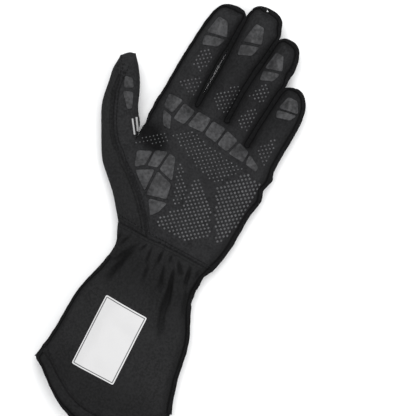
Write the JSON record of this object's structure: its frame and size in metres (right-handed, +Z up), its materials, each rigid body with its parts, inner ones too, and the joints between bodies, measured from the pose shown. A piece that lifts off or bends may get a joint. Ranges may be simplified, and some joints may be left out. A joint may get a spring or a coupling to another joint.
{
  "type": "karting glove",
  "caption": "Long-cuff glove for the left hand, palm up, with outside finger seams, grip plates on palm and fingertips, a gathered wrist and a flared open cuff.",
  "frame": {"origin": "middle of the underside of the glove's box, on the surface that the glove lies on", "axes": "+Y from the cuff to the fingertips, +Z up out of the palm, the thumb at -X"},
  "size_m": [0.1618, 0.3252, 0.031],
  "materials": {
    "palm_cloth": "matt black suede cloth",
    "back_cloth": "smooth matt black knit",
    "grip": "dark grey satin silicone",
    "white_cloth": "white woven patch"
  },
  "bodies": {
    "root": {"palm_panel": "palm_cloth", "back_panel": "back_cloth", "thumb_front": "palm_cloth", "thumb_back": "back_cloth", "thumb_web": "palm_cloth", "cuff_front": "back_cloth", "cuff_back": "back_cloth", "hem_front": "back_cloth", "hem_back": "back_cloth", "grip_arc_1": "grip", "grip_arc_2": "grip", "grip_arc_3": "grip", "grip_arc_4": "grip", "grip_arc_5": "grip", "grip_arc_6": "grip", "grip_arc_7": "grip", "grip_arc_8": "grip", "grip_thenar_1": "grip", "grip_thenar_2": "grip", "grip_thenar_3": "grip", "grip_thenar_4": "grip", "grip_thenar_5": "grip", "grip_thenar_6": "grip", "grip_index_top": "grip", "grip_index_low": "grip", "grip_middle_top": "grip", "grip_middle_low": "grip", "grip_ring_top": "grip", "grip_ring_low": "grip", "grip_little_top": "grip", "grip_little_low": "grip", "grip_thumb_top": "grip", "grip_thumb_low": "grip", "thumb_stripe_1": "white_cloth", "thumb_stripe_2": "white_cloth", "label": "white_cloth"}
  },
  "joints": []
}
